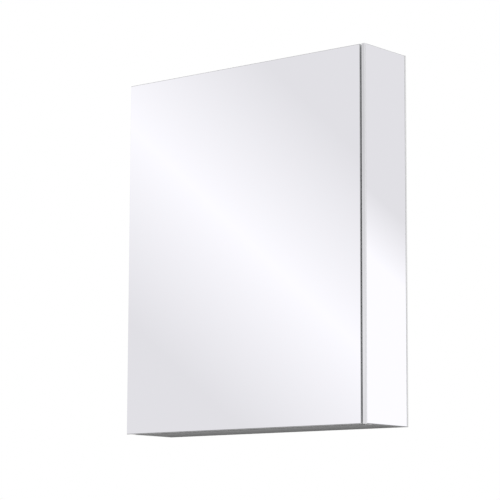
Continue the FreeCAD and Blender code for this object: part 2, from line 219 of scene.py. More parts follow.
class Graph:
    """A node tree, with one way to add any node and short ways to the usual ones."""

    def __init__(self, tree: bpy.types.NodeTree) -> None:
        """Hold the tree that nodes are added to."""
        self.tree = tree

    def node(
        self,
        kind: str,
        settings: Mapping[str, Any] | None = None,
        inputs: Mapping[int | str, Any] | None = None,
        output: int | str = 0,
    ) -> Wire:
        """Add a node.

        Args:
            kind: Blender's type name of the node.
            settings: Properties set before anything else.
            inputs: Values or wires for its sockets, by name or index.
            output: The output wanted, by name or index.

        Returns:
            The chosen output.
        """
        made = self.tree.nodes.new(kind)
        for name, value in (settings or {}).items():
            setattr(made, name, value)
        self.feed(made, inputs or {})
        return Wire(self, made.outputs[output])

    def feed(self, node: bpy.types.Node, inputs: Mapping[int | str, Any]) -> None:
        """Set or link a node's input sockets.

        Args:
            node: The node to feed.
            inputs: Values or wires, by socket name or index.
        """
        for name, value in inputs.items():
            if isinstance(value, Wire):
                self.tree.links.new(value.socket, node.inputs[name])
            elif isinstance(value, tuple) and node.inputs[name].type == "RGBA":
                node.inputs[name].default_value = (*value, 1.0)
            else:
                node.inputs[name].default_value = value

    def math(self, operation: str, *terms: Wire | float) -> Wire:
        """Add a Math node on one to three terms."""
        return self.node("ShaderNodeMath", {"operation": operation}, dict(enumerate(terms)))

    def place(self) -> Wire:
        """Object coordinates of the shaded point."""
        return self.node("ShaderNodeTexCoord", output="Object")

    def along(self, axis: Axis) -> Wire:
        """One Object coordinate of the shaded point."""
        return self.node("ShaderNodeSeparateXYZ", inputs={0: self.place()}, output=axis.value)

    def step(self, value: Wire, low: float, high: float) -> Wire:
        """Smooth rise from 0 at low to 1 at high.

        Args:
            value: What is compared.
            low: Where the rise starts.
            high: Where it ends.

        Returns:
            The mask.
        """
        settings = {"interpolation_type": "SMOOTHSTEP"}
        inputs = {"Value": value, "From Min": low, "From Max": high}
        return self.node("ShaderNodeMapRange", settings, inputs)

    def mix(self, mask: Wire, low: Wire | Colour, high: Wire | Colour) -> Wire:
        """Colour between two others.

        Args:
            mask: 0 gives the first colour and 1 the second.
            low: First colour.
            high: Second colour.

        Returns:
            The mixed colour.
        """
        # A Mix node has sockets of one name for numbers, vectors and colours: these are the colours'.
        return self.node("ShaderNodeMix", {"data_type": "RGBA"}, {0: mask, 6: low, 7: high}, 2)

    def noise(self, grain: Grain) -> Wire:
        """Soft noise on Object coordinates.

        Args:
            grain: Fineness and stretch of the noise.

        Returns:
            Values about NOISE_MEAN.
        """
        drawn = {"Vector": self.place(), "Scale": grain.stretch}
        vector = self.node("ShaderNodeMapping", inputs=drawn)
        inputs = {"Vector": vector, "Scale": grain.scale, "Detail": grain.detail}
        return self.node("ShaderNodeTexNoise", inputs=inputs)

    def cells(self, scale: float, output: str = "Distance") -> Wire:
        """Cell pattern on Object coordinates, with so many cells in a metre."""
        inputs = {"Vector": self.place(), "Scale": scale}
        return self.node("ShaderNodeTexVoronoi", inputs=inputs, output=output)

    def bump(self, height: Wire, depth: float, strength: float = 1.0) -> Wire:
        """Normal that follows a relief.

        Args:
            height: Relief from 0 to 1.
            depth: What a height of 1 stands for, in metres.
            strength: Share of the relief that shows.

        Returns:
            The bent normal.
        """
        inputs = {"Height": height, "Distance": depth, "Strength": strength}
        return self.node("ShaderNodeBump", inputs=inputs)


@dataclass(frozen=True)
class Finish(ABC):
    """A surface finish, which becomes one procedural material."""

    name: str

    @abstractmethod
    def sockets(self, graph: Graph) -> dict[str, Any]:
        """Values and wires for the Principled shader, by socket name."""

    @cache
    def material(self) -> bpy.types.Material:
        """Material of this finish, made on first use.

        Returns:
            The material.
        """
        made = bpy.data.materials.new(self.name)
        made.use_nodes = True
        graph = Graph(made.node_tree)
        graph.feed(graph.tree.nodes["Principled BSDF"], self.sockets(graph))
        return made

    def lay_on(self, *nodes: str) -> None:
        """Give solids of the frame this finish.

        Args:
            nodes: Names of the solids' nodes.
        """
        for node in nodes:
            slots = frame["nodes"][node].data.materials
            slots.clear()
            slots.append(self.material())
            LOG.info("%s: %s", node, self.name)


@dataclass(frozen=True)
class SilveredGlass(Finish):
    """Mirror glass: silver behind the flat face, a frosted arris, green edges and a painted back."""

    axis: Axis
    face: float
    inward: float
    thickness: float
    bright_axis: Axis
    bright_edge: float
    bright_width: float = 0.0015
    arris: float = 0.001
    skin: float = 0.0001
    blur: float = 0.0002
    silver: Colour = (0.925, 0.917, 0.963)
    frost: Colour = (0.153, 0.153, 0.16)
    polish: Colour = (0.70, 0.70, 0.72)
    edge: Colour = (0.55, 0.572, 0.576)
    edge_fade: float = 0.8
    paint: Colour = (0.20, 0.23, 0.22)
    streaks: Grain = Grain(220.0, 3.0)
    haze: Grain = Grain(9.0, 3.0)
    haze_matt: float = 0.004
    frost_matt: float = 0.32
    edge_matt: float = 0.12
    paint_matt: float = 0.52
    gloss: float = 0.15

    def sockets(self, graph: Graph) -> dict[str, Any]:
        """Zones by depth behind the face: silver, then arris, then cut edge, then paint.

        The arris along the bright edge is polished instead of frosted.

        Args:
            graph: Graph of the material.

        Returns:
            Sockets of the shader.
        """
        depth = (graph.along(self.axis) - self.face) * self.inward
        rear = self.thickness - self.skin
        behind = graph.step(depth, self.skin, self.skin + self.blur)
        cut = graph.step(depth, self.arris, self.arris + self.blur)
        back = graph.step(depth, rear - self.blur, rear)
        edge = graph.mix(graph.noise(self.streaks), self.edge, shade(self.edge, self.edge_fade))
        beside = abs(graph.along(self.bright_axis) - self.bright_edge)
        polished = 1 - graph.step(beside, self.arris, self.bright_width)
        colour = graph.mix(cut, graph.mix(polished, self.frost, self.polish), edge)
        colour = graph.mix(back, colour, self.paint)
        to_edge, to_paint = self.edge_matt - self.frost_matt, self.paint_matt - self.edge_matt
        matt = self.frost_matt + cut * to_edge + back * to_paint
        return {
            "Base Color": graph.mix(behind, self.silver, colour),
            "Metallic": 1 - behind,
            "Roughness": graph.noise(self.haze) * self.haze_matt + behind * matt,
            "Specular IOR Level": self.gloss,
        }


@dataclass(frozen=True)
class ClearGlass(Finish):
    """Float glass, clear through its faces and green along its polished edges."""

    span: Point
    centre: Point
    rim: float = 0.004
    rim_blur: float = 0.003
    clear: Colour = (0.95, 0.985, 0.97)
    green: Colour = (0.30, 0.62, 0.52)
    ripple: Grain = Grain(14.0, 1.0)
    ripple_depth: float = 0.00002
    haze_matt: float = 0.004
    rim_matt: float = 0.04
    refraction: float = 1.52

    def sockets(self, graph: Graph) -> dict[str, Any]:
        """Green within the rim of the pane's outline, clear inside it.

        Args:
            graph: Graph of the material.

        Returns:
            Sockets of the shader.
        """
        x = abs(graph.along(Axis.X) - self.centre[0]) - self.span[0] / 2
        y = abs(graph.along(Axis.Y) - self.centre[1]) - self.span[1] / 2
        rim = graph.step(x.math("MAXIMUM", y), -self.rim, self.rim_blur - self.rim)
        ripple = graph.noise(self.ripple)
        return {
            "Base Color": graph.mix(rim, self.clear, self.green),
            "Roughness": self.haze_matt + rim * self.rim_matt + ripple * self.haze_matt,
            "Normal": graph.bump(ripple, self.ripple_depth),
            "Transmission Weight": 1.0,
            "IOR": self.refraction,
        }


@dataclass(frozen=True)
class Board(Finish):
    """Board: white melamine inside, its own coat outside, and particles where a hole cuts its core."""

    axis: Axis
    middle: float
    half: float
    inner_side: float = 1.0
    coat: float = 0.0002
    coat_blur: float = 0.0004
    side_blur: float = 0.001
    inner: Colour = WHITE
    outer: Colour = WHITE
    # Painted shade: the outer coat is this share darker at the wall, fading out over this depth
    # towards the front.
    painted_wall_shade: float = 0.0
    painted_shade_depth: float = 0.110
    cloud: Grain = Grain(5.0, 3.0)
    cloud_tone: Colour = (0.55, 0.55, 0.56)
    cloud_share: float = 0.05
    pearl: Grain = Grain(900.0)
    particles: float = 650.0
    dark_particle: Colour = (0.23, 0.15, 0.085)
    pale_particle: Colour = (0.50, 0.37, 0.23)
    inner_matt: float = 0.46
    outer_matt: float = 0.46
    pearl_matt: float = 0.16
    core_matt: float = 0.4
    pearl_depth: float = 0.00006
    chip_height: float = 3.0
    relief: float = 0.5
    gloss: float = 0.12

    def sockets(self, graph: Graph) -> dict[str, Any]:
        """Coat by side of the middle plane, and particles between the two coats.

        The outer coat is darker towards the wall than at the front: painted shade, as if the wall
        shaded it.

        Args:
            graph: Graph of the material.

        Returns:
            Sockets of the shader.
        """
        offset = graph.along(self.axis) - self.middle
        under = self.half - self.coat
        side = graph.step(offset * self.inner_side, -self.side_blur, self.side_blur)
        core = 1 - graph.step(abs(offset), under - self.coat_blur, under)
        # Painted shade: the outer coat darkens from the front edge towards the wall.
        front = graph.along(Axis.Y) / -self.painted_shade_depth
        outer = graph.mix(front, shade(self.outer, 1 - self.painted_wall_shade), self.outer)
        coating = graph.mix(side, outer, self.inner)
        cloudy = graph.mix(graph.noise(self.cloud) * self.cloud_share, coating, self.cloud_tone)
        tint = graph.cells(self.particles, "Color")
        chips = graph.mix(tint, self.dark_particle, self.pale_particle)
        pearl = graph.noise(self.pearl)
        height = pearl * (1 - core) + graph.cells(self.particles) * core * self.chip_height
        matt = self.outer_matt + side * (self.inner_matt - self.outer_matt)
        return {
            "Base Color": graph.mix(core, cloudy, chips),
            "Roughness": matt + (pearl - NOISE_MEAN) * self.pearl_matt + core * self.core_matt,
            "Normal": graph.bump(height, self.pearl_depth, self.relief),
            "Specular IOR Level": self.gloss,
        }


@dataclass(frozen=True)
class Coat(Finish):
    """Plain coated or moulded surface with a fine grain and a faint cloud in its tone."""

    colour: Colour
    cloud: Grain = Grain(11.0, 3.0)
    cloud_share: float = 0.12
    grain: Grain = Grain(1200.0)
    grain_matt: float = 0.2
    depth: float = 0.00005
    relief: float = 0.6
    roughness: float = 0.45
    gloss: float = 0.4

    def sockets(self, graph: Graph) -> dict[str, Any]:
        """Cloudy tone over a grain that bends the normal and the gloss.

        Args:
            graph: Graph of the material.

        Returns:
            Sockets of the shader.
        """
        grain = graph.noise(self.grain)
        dim = shade(self.colour, 1 - self.cloud_share)
        return {
            "Base Color": graph.mix(graph.noise(self.cloud), self.colour, dim),
            "Roughness": self.roughness + (grain - NOISE_MEAN) * self.grain_matt,
            "Normal": graph.bump(grain, self.depth, self.relief),
            "Specular IOR Level": self.gloss,
        }


@dataclass(frozen=True)
class BackPanel(Finish):
    """White panel with a pressed grain; its two ends with the boards are grey lacquer, halved in tone
    as painted shade.
    """

    half_height: float
    lacquer: float = 0.0005
    lacquer_blur: float = 0.0004
    face: Colour = (0.84, 0.84, 0.845)
    # Grey of the boards' lacquer, halved as painted shade to match the boards' painted shade at the
    # wall.
    ends: Colour = shade(GREY, 0.5)
    cloud: Grain = Grain(6.0, 3.0)
    cloud_share: float = 0.05
    pressed: Grain = Grain(420.0)
    pressed_matt: float = 0.2
    depth: float = 0.00012
    relief: float = 0.6
    roughness: float = 0.5
    lacquer_matt: float = 0.2
    gloss: float = 0.3

    def sockets(self, graph: Graph) -> dict[str, Any]:
        """White all over but for the last half millimetre at the top and the bottom.

        Args:
            graph: Graph of the material.

        Returns:
            Sockets of the shader.
        """
        past = abs(graph.along(Axis.Z)) - self.half_height
        lacquer = graph.step(past, -self.lacquer, self.lacquer_blur - self.lacquer)
        pressed = graph.noise(self.pressed)
        dim = shade(self.face, 1 - self.cloud_share)
        white = graph.mix(graph.noise(self.cloud), self.face, dim)
        matt = self.roughness + (pressed - NOISE_MEAN) * self.pressed_matt
        return {
            # Grey ends, darkened by painted shade.
            "Base Color": graph.mix(lacquer, white, self.ends),
            "Roughness": matt + lacquer * self.lacquer_matt,
            "Normal": graph.bump(pressed, self.depth, self.relief),
            "Specular IOR Level": self.gloss,
        }


@dataclass(frozen=True)
class Metal(Finish):
    """Metal with a grain in its gloss and patches of slightly different tone."""

    colour: Colour
    tint: Colour
    patches: Grain = Grain(60.0)
    patch_low: float = 0.35
    patch_high: float = 0.65
    grain: Grain = Grain(1600.0, 3.0, (1.0, 1.0, 0.01))
    depth: float = 0.00001
    relief: float = 0.5
    roughness: float = 0.25
    least_matt: float = 0.6
    grain_matt: float = 0.8

    def sockets(self, graph: Graph) -> dict[str, Any]:
        """Patches of two tones under a grain in the gloss and the relief.

        Args:
            graph: Graph of the material.

        Returns:
            Sockets of the shader.
        """
        lines = graph.noise(self.grain)
        patch = graph.step(graph.noise(self.patches), self.patch_low, self.patch_high)
        return {
            "Base Color": graph.mix(patch, self.colour, self.tint),
            "Metallic": 1.0,
            "Roughness": self.roughness * (self.least_matt + self.grain_matt * lines),
            "Normal": graph.bump(lines, self.depth, self.relief),
        }


@dataclass(frozen=True, kw_only=True)
class NosedMetal(Metal):
    """Drawn metal with a painted highlight: its colour turns paler along its round nose."""

    nose: float
    nose_width: float = 0.0015
    # Paler colour across the nose: a painted highlight.
    painted_nose_highlight: Colour = (0.86, 0.86, 0.885)

    def sockets(self, graph: Graph) -> dict[str, Any]:
        """Drawn metal, with the tone rising across the nose as a painted highlight.

        Args:
            graph: Graph of the material.

        Returns:
            Sockets of the shader.
        """
        drawn = super().sockets(graph)
        # Painted highlight: the colour rises towards the nose.
        near = graph.step(graph.along(Axis.X), self.nose - self.nose_width, self.nose)
        return drawn | {"Base Color": graph.mix(near, drawn["Base Color"], self.painted_nose_highlight)}


@dataclass(frozen=True)
class Foam(Finish):
    """Closed-cell foam tape."""

    colour: Colour = (0.045, 0.045, 0.047)
    pale: Colour = (0.10, 0.10, 0.105)
    cells: float = 1800.0
    depth: float = 0.0002
    relief: float = 0.7
    roughness: float = 0.8
    cell_matt: float = 0.15

    def sockets(self, graph: Graph) -> dict[str, Any]:
        """Cells that are paler and higher towards their rims.

        Args:
            graph: Graph of the material.

        Returns:
            Sockets of the shader.
        """
        cell = graph.cells(self.cells)
        return {
            "Base Color": graph.mix(cell, self.colour, self.pale),
            "Roughness": self.roughness + cell * self.cell_matt,
            "Normal": graph.bump(cell, self.depth, self.relief),
        }


@dataclass(frozen=True)
class Timber(Finish):
    """Pressed beech of the dowels, with short flecks along the grain."""

    pale: Colour = (0.60, 0.40, 0.22)
    dark: Colour = (0.40, 0.24, 0.12)
    flecks: Grain = Grain(1500.0, 4.0, (1.0, 1.0, 0.08))
    fleck_low: float = 0.4
    fleck_high: float = 0.68
    depth: float = 0.00008
    relief: float = 0.6
    roughness: float = 0.55
    fleck_matt: float = 0.2

    def sockets(self, graph: Graph) -> dict[str, Any]:
        """Flecks from noise drawn out along the dowels that stand upright.

        Args:
            graph: Graph of the material.

        Returns:
            Sockets of the shader.
        """
        fleck = graph.noise(self.flecks)
        dark = graph.step(fleck, self.fleck_low, self.fleck_high)
        return {
            "Base Color": graph.mix(dark, self.pale, self.dark),
            "Roughness": self.roughness + fleck * self.fleck_matt,
            "Normal": graph.bump(fleck, self.depth, self.relief),
        }


@dataclass(frozen=True)
class SoftClear(Finish):
    """Clear soft plastic of the stick-on stops."""

    colour: Colour = (0.93, 0.95, 0.955)
    clouded: Colour = (0.86, 0.89, 0.90)
    cloud: Grain = Grain(700.0)
    roughness: float = 0.10
    cloud_matt: float = 0.12
    clearness: float = 0.75
    refraction: float = 1.47

    def sockets(self, graph: Graph) -> dict[str, Any]:
        """Slightly clouded clear body.

        Args:
            graph: Graph of the material.

        Returns:
            Sockets of the shader.
        """
        cloud = graph.noise(self.cloud)
        return {
            "Base Color": graph.mix(cloud, self.colour, self.clouded),
            "Roughness": self.roughness + cloud * self.cloud_matt,
            "Transmission Weight": self.clearness,
            "IOR": self.refraction,
        }


EDGING = Coat("edging_grey", EDGE_GREY, grain=Grain(1500.0), roughness=0.42)
TAPE = Foam("tape_foam")
ZINC = Metal(
    "screw_zinc",
    colour=(0.66, 0.68, 0.71),
    tint=(0.70, 0.69, 0.64),
    patches=Grain(240.0),
    grain=Grain(1400.0, 3.0),
    depth=0.00002,
    roughness=0.34,
)


def closed_surface(name: str, shells: np.ndarray, sharp: float) -> bpy.types.Object:
    """Mesh of closed shells, each a grid of points whose first and last rows are poles.

    A shell's point (v, u) joins to (v, u + 1), round to the first, and to (v + 1, u). The first and
    last rows are one point each, so they close the shell with triangles. Seen from outside, u runs
    to the right where v runs up.

    Args:
        name: Name of the object and its mesh.
        shells: Points, as shells by rows by columns by three.
        sharp: Turn in degrees past which an edge stays sharp.

    Returns:
        The object, linked to the scene.
    """
    count, rows, columns, _ = shells.shape
    rings = rows - 2
    inner = shells[:, 1:-1].reshape(count, rings * columns, 3)
    points = np.concatenate([shells[:, :1, 0], inner, shells[:, -1:, 0]], axis=1)
    u = np.arange(columns)
    after = (u + 1) % columns
    low = 1 + np.arange(rings - 1)[:, None] * columns
    quads = np.stack([low + u, low + after, low + columns + after, low + columns + u], -1)
    last = 1 + rings * columns
    first_fan = np.stack([np.zeros(columns, int), 1 + after, 1 + u], -1)
    top = 1 + (rings - 1) * columns
    last_fan = np.stack([np.full(columns, last), top + u, top + after], -1)
    step = np.arange(count)[:, None, None] * (last + 1)
    faces = (quads.reshape(1, -1, 4) + step).reshape(-1, 4).tolist()
    for fan in (first_fan, last_fan):
        faces += (fan[None] + step).reshape(-1, 3).tolist()
    mesh = bpy.data.meshes.new(name)
    mesh.from_pydata(points.reshape(-1, 3).tolist(), [], faces)
    mesh.validate()
    mesh.shade_smooth()
    mesh.set_sharp_from_angle(angle=math.radians(sharp))
    made = bpy.data.objects.new(name, mesh)
    bpy.context.scene.collection.objects.link(made)
    return made


def settle(piece: bpy.types.Object, finish: Finish, body: Body, node: str) -> None:
    """Finish a new piece and let it stand for a solid of the frame.

    Args:
        piece: The new piece.
        finish: Its finish.
        body: Body that it rides on.
        node: Solid that it replaces.
    """
    piece.data.materials.append(finish.material())
    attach(piece, body.value)
    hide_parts(node)
    LOG.info("%s: %s, for %s", piece.name, finish.name, node)


@dataclass
class Carcass:
    """Boards, edging, dowels, rails and back panel of the body."""

    lacquer_matt: float = 0.75
    # Share of painted shade that darkens the grey coat towards the wall.
    lacquer_painted_shade: float = 0.52

    def dress(self) -> None:
        """White inside, grey on the top and the underside, with painted shade towards the wall."""
        for side in Side:
            name = side.name.lower()
            node = f"{name}_side_board"
            planes = middle(node, Axis.X), span(node, Axis.X) / 2
            Board(f"{name}_board_white", Axis.X, *planes).lay_on(node)
        for end in End:
            name = end.name.lower()
            node = f"{name}_board"
            board = Board(
                f"{name}_board_grey",
                Axis.Z,
                middle(node, Axis.Z),
                span(node, Axis.Z) / 2,
                inner_side=-end.value,
                outer=GREY,
                painted_wall_shade=self.lacquer_painted_shade,
                outer_matt=self.lacquer_matt,
            )
            board.lay_on(node)
        EDGING.lay_on("body_edge_bands")
        rail = Coat("rail_white", WHITE, grain=Grain(900.0), roughness=0.42)
        rail.lay_on("upper_hanging_rail", "lower_hanging_rail")
        panel = BackPanel("panel_white", half_height=reach("back_panel", Axis.Z, 1.0))
        panel.lay_on("back_panel")
        Timber("dowel_beech").lay_on("carcass_dowels")
        ZINC.lay_on("back_panel_screws")


@dataclass
class SideMirrors:
    """Mirror glass bonded to the two sides, and the profile along the closing edge."""

    profile_matt: float = 0.07

    def dress(self) -> None:
        """Mirrors by side, tape behind them and a bright profile in front."""
        for side in Side:
            name = side.name.lower()
            node = f"{name}_side_mirror"
            glass = SilveredGlass(
                f"{name}_mirror_glass",
                Axis.X,
                face=reach(node, Axis.X, side.value),
                inward=-side.value,
                thickness=span(node, Axis.X),
                bright_axis=Axis.Y,
                bright_edge=reach(node, Axis.Y, -1.0),
            )
            glass.lay_on(node)
        TAPE.lay_on("side_mirror_tape")
        profile = NosedMetal(
            "bright_aluminium",
            colour=(0.745, 0.742, 0.768),
            tint=(0.735, 0.732, 0.758),
            grain=Grain(1500.0, 3.0, (1.0, 1.0, 0.004)),
            depth=0.000001,
            roughness=self.profile_matt,
            nose=reach("closing_edge_profile", Axis.X, 1.0),
        )
        profile.lay_on("closing_edge_profile")
        ZINC.lay_on("closing_edge_screws")


@dataclass
class FullHeightHinge:
    """Hinge with rolled leaves along the whole edge of the door."""

    leaf_matt: float = 0.28
    pin_matt: float = 0.2

    def dress(self) -> None:
        """Brushed leaves, a plain pin and plated screws."""
        leaf = Metal(
            "hinge_stainless",
            colour=(0.60, 0.595, 0.58),
            tint=(0.588, 0.583, 0.572),
            patches=Grain(14.0),
            roughness=self.leaf_matt,
        )
        leaf.lay_on("body_hinge_leaf", "door_hinge_leaf")
        pin = Metal(
            "hinge_pin_steel",
            colour=(0.58, 0.58, 0.58),
            tint=(0.55, 0.55, 0.55),
            roughness=self.pin_matt,
        )
        pin.lay_on("hinge_pin")
        ZINC.lay_on("body_hinge_screws", "door_hinge_screws")


@dataclass
class GlassShelves:
    """Two glass shelves with polished round edges, on plated pins."""

    levels: tuple[str, ...] = ("lower", "upper")
    corner: float = 0.006
    land: float = 0.002
    round_rows: int = 9
    corner_columns: int = 7
    sharp: float = 30.0
    pin_matt: float = 0.16

    def outline(self, half: np.ndarray) -> tuple[np.ndarray, np.ndarray]:
        """Rounded rectangle about the origin: four quarter circles joined by straight sides.

        Args:
            half: Half of the length and of the width.

        Returns:
            Points of the outline anticlockwise, and the outward direction at each.
        """
        turn = np.linspace(0.0, np.pi / 2, self.corner_columns)
        angle = (np.arange(4)[:, None] * np.pi / 2 + turn).ravel()
        signs = np.repeat([[1, 1], [-1, 1], [-1, -1], [1, -1]], self.corner_columns, axis=0)
        outward = np.stack([np.cos(angle), np.sin(angle)], -1)
        return signs * (half - self.corner) + self.corner * outward, outward

    def pane(self, low: np.ndarray, high: np.ndarray) -> np.ndarray:
        """Closed pane: the outline drawn in by r at height z, along a half round edge.

        At the turn t of the edge, from -90 to 90 degrees, the outline is drawn in by a radius times
        (1 - cos t) and stands at the middle height plus the radius times sin t, with the radius half
        the thickness. A narrow land keeps each face flat, and a pole in its middle closes the pane.

        Args:
            low: Lowest corner of the pane.
            high: Highest corner.

        Returns:
            One shell of points for closed_surface.
        """
        centre, half = (low + high) / 2, (high - low) / 2
        rim, outward = self.outline(half[:2])
        t = np.linspace(-np.pi / 2, np.pi / 2, self.round_rows)[:, None, None]
        ring = rim - half[2] * (1 - np.cos(t)) * outward
        height = np.broadcast_to(half[2] * np.sin(t), ring.shape[:2] + (1,))
        rows = np.concatenate([ring, height], -1)
        flat = np.concatenate([rim - (half[2] + self.land) * outward, np.zeros((len(rim), 1))], -1)
        rows = np.concatenate([[flat * 0], [flat], rows, [flat], [flat * 0]])
        rows[:2, :, 2], rows[-2:, :, 2] = -half[2], half[2]
        return (rows + centre)[None]

    def build(self) -> None:
        """Model both panes and dress the pins under them."""
        pin = Metal(
            "pin_nickel",
            colour=(0.72, 0.70, 0.66),
            tint=(0.70, 0.67, 0.63),
            grain=Grain(900.0, 3.0),
            roughness=self.pin_matt,
        )
        for level in self.levels:
            node = f"{level}_shelf"
            low, high = box(node)
            piece = closed_surface(f"{level}_glass_shelf", self.pane(low, high), self.sharp)
            glass = ClearGlass(
                f"{level}_shelf_glass", span=tuple(high - low), centre=tuple((low + high) / 2)
            )
            settle(piece, glass, Body.CABINET, node)
            pin.lay_on(f"{level}_shelf_pins")


@dataclass
class PushLatch:
    """Magnetic push latch beside the closing edge, and its strike plate on the door."""

    wire_radius: float = 0.0004
    open_turns: int = 6
    closed_turns: int = 1
    turn_rows: int = 40
    wire_columns: int = 12
    sharp: float = 50.0

    def coil(self, low: np.ndarray, high: np.ndarray) -> np.ndarray:
        """Spring: a round wire carried along a helix about the latch's axis.

        At the turn t the helix stands at the angle 2 pi t. It climbs by one wire in each closed turn
        at its ends and evenly in the open turns between them. At the angle b round the wire, the
        surface lies off the helix by the wire's radius times cos(b) away from the axis and times
        sin(b) square to that and to the wire. Both poles are the middles of the cut ends.

        Args:
            low: Lowest corner of the spring.
            high: Highest corner.

        Returns:
            One shell of points for closed_surface.
        """
        radius = (high[0] - low[0]) / 2 - self.wire_radius
        height = high[1] - low[1] - 2 * self.wire_radius
        turns = self.open_turns + 2 * self.closed_turns
        flat = 2 * self.wire_radius * self.closed_turns
        t = np.linspace(0.0, turns, turns * self.turn_rows + 1)
        stops = [0.0, self.closed_turns, turns - self.closed_turns, turns]
        climb = np.interp(t, stops, [0.0, flat, height - flat, height])
        angle = 2 * np.pi * t
        out = np.stack([np.cos(angle), np.zeros_like(t), np.sin(angle)], -1)
        path = (low + high) / 2 + radius * out
        path[:, 1] = low[1] + self.wire_radius + climb
        along = np.gradient(path, axis=0)
        across = np.cross(along / np.linalg.norm(along, axis=1, keepdims=True), out)
        b = np.linspace(0.0, 2 * np.pi, self.wire_columns, endpoint=False)[:, None]
        ring = np.cos(b) * out[:, None] + np.sin(b) * across[:, None]
        rings = path[:, None] + self.wire_radius * ring
        ends = np.broadcast_to(path[[0, -1], None], (2, self.wire_columns, 3))
        return np.concatenate([ends[:1], rings, ends[1:]])[None]

    def build(self) -> None:
        """Wind the spring as a coil, in place of the frame's spring."""
        low, high = box("latch_spring")
        piece = closed_surface("coil_spring", self.coil(low, high), self.sharp)
        steel = Metal(
            "spring_wire", colour=(0.50, 0.50, 0.50), tint=(0.46, 0.46, 0.46), roughness=0.3
        )
        settle(piece, steel, Body.CABINET, "latch_spring")
        left = 1 - travel("latch_press") / (high[1] - low[1])
        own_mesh(piece)

    def dress(self) -> None:
        """Moulded housing and plunger, with steel parts."""
        casing = Coat(
            "plastic_grey",
            (0.30, 0.30, 0.31),
            cloud_share=0.04,
            grain=Grain(1800.0),
            depth=0.00004,
            roughness=0.48,
        )
        casing.lay_on("latch_housing", "latch_rear_cap")
        plunger = Coat(
            "plastic_white",
            (0.78, 0.78, 0.78),
            cloud_share=0.04,
            grain=Grain(1800.0),
            depth=0.00002,
            roughness=0.35,
            gloss=0.5,
        )
        plunger.lay_on("latch_plunger")
        magnet = Metal(
            "magnet_nickel", colour=(0.40, 0.40, 0.41), tint=(0.36, 0.36, 0.37), roughness=0.3
        )
        magnet.lay_on("latch_magnet")
        plate = Metal(
            "plate_zinc",
            colour=ZINC.colour,
            tint=ZINC.tint,
            grain=Grain(700.0, 3.0, (1.0, 1.0, 0.01)),
            roughness=0.36,
        )
        plate.lay_on("strike_plate")
        ZINC.lay_on("latch_screws", "strike_plate_screws")


@dataclass
class MirrorDoor:
    """Door of mirror glass on a coated core, with edging and soft stops."""

    stop_rows: int = 14
    stop_columns: int = 40
    stop_shoulder: float = 0.7
    sharp: float = 50.0
    closing_polish: Colour = (0.40, 0.395, 0.41)

    def dome(self, low: np.ndarray, high: np.ndarray) -> np.ndarray:
        """Domed stop on the back of the door.

        The distance from the axis is the radius times cos(v) to the power of the shoulder, and the
        height is the stop's height times sin(v), for v from the foot to the tip, so the shoulder is
        full and the tip is flat. Both poles lie on the axis.

        Args:
            low: Lowest corner of the stop.
            high: Highest corner.

        Returns:
            One shell of points for closed_surface.
        """
        radius = (high[0] - low[0]) / 2
        centre = (low + high) / 2
        v = np.linspace(0.0, np.pi / 2, self.stop_rows)
        bulge = radius * np.maximum(np.cos(v), 0.0) ** self.stop_shoulder
        out = np.concatenate([[0.0], bulge])[:, None]
        height = np.concatenate([[0.0], (high[1] - low[1]) * np.sin(v)])[:, None]
        u = np.linspace(0.0, 2 * np.pi, self.stop_columns, endpoint=False)
        x = centre[0] + out * np.sin(u)
        z = centre[2] + out * np.cos(u)
        y = np.broadcast_to(low[1] + height, x.shape)
        return np.stack([x, y, z], -1)

    def build(self) -> None:
        """Model the soft stops where the frame has them."""
        low, high = box("door_bumpers")
        size = np.array([high[0] - low[0], high[1] - low[1], high[0] - low[0]])
        shells = np.stack([self.dome(low, low + size), self.dome(high - size, high)])
        piece = closed_surface("soft_stops", shells, self.sharp)
        settle(piece, SoftClear("soft_clear"), Body.DOOR, "door_bumpers")

    def dress(self) -> None:
        """Mirror, tape, core and edging."""
        glass = SilveredGlass(
            "door_mirror_glass",
            Axis.Y,
            face=reach("door_mirror", Axis.Y, -1.0),
            inward=1.0,
            thickness=span("door_mirror", Axis.Y),
            bright_axis=Axis.X,
            bright_edge=reach("door_mirror", Axis.X, 1.0),
            polish=self.closing_polish,
        )
        glass.lay_on("door_mirror")
        TAPE.lay_on("door_mirror_tape")
        planes = middle("door_core", Axis.Y), span("door_core", Axis.Y) / 2
        Board("door_board_white", Axis.Y, *planes).lay_on("door_core")
        EDGING.lay_on("door_edge_bands")


@dataclass
class Lamp:
    """Large soft lamp that mirrors don't show."""

    name: str
    place: Point
    size: float
    power: float

    def build(self) -> None:
        """Hang the lamp and aim it at the cabinet."""
        data = bpy.data.lights.new(self.name, "AREA")
        data.shape, data.size, data.energy = "DISK", self.size, self.power
        lamp = bpy.data.objects.new(self.name, data)
        bpy.context.scene.collection.objects.link(lamp)
        lamp.location = self.place
        lamp.rotation_euler = (-Vector(self.place)).to_track_quat("-Z", "Y").to_euler()
        lamp.visible_camera = lamp.visible_glossy = lamp.visible_transmission = False


